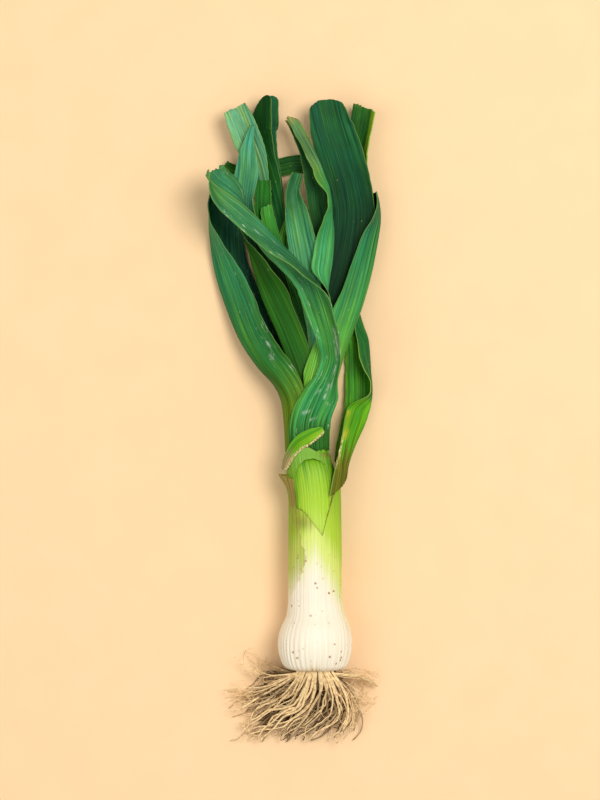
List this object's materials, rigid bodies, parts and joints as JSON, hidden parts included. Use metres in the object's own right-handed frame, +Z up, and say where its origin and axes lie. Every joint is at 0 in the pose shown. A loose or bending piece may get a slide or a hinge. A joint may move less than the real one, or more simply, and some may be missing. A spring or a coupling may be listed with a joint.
{
  "type": "leek",
  "caption": "Fresh leek lying on its side: white bulb with a tuft of roots, pale to green shaft, and a loose sheaf of folded, trimmed green leaves.",
  "frame": {"origin": "middle of the small flat spot under the bulb on which the leek rests", "axes": "+Z up from the surface it lies on, +Y from the roots to the leaf ends, +X to the right seen from above with the leaves away from the viewer"},
  "size_m": [0.1173, 0.4332, 0.0552],
  "materials": {
    "sheath": "satin",
    "root": "matte",
    "leaf_dark": "satin",
    "leaf_light": "satin"
  },
  "bodies": {
    "root": {"shaft": "sheath", "root_tuft": "root", "sheath_stub": "sheath", "leaf_left_outer": "leaf_dark", "leaf_right_outer": "leaf_light", "leaf_front": "leaf_light", "leaf_right_broad": "leaf_dark", "leaf_left_pinched": "leaf_dark", "leaf_inner_left": "leaf_light", "leaf_inner_left_short": "leaf_light", "leaf_centre_folded": "leaf_light", "leaf_centre_tall": "leaf_light", "leaf_top_left": "leaf_light", "leaf_looped": "leaf_dark", "leaf_crosswise": "leaf_dark", "leaf_heart": "leaf_light", "leaf_inner_right": "leaf_dark", "leaf_inner_right_torn": "leaf_dark", "leaf_top_right": "leaf_dark", "leaf_low_right": "leaf_light"}
  },
  "joints": []
}
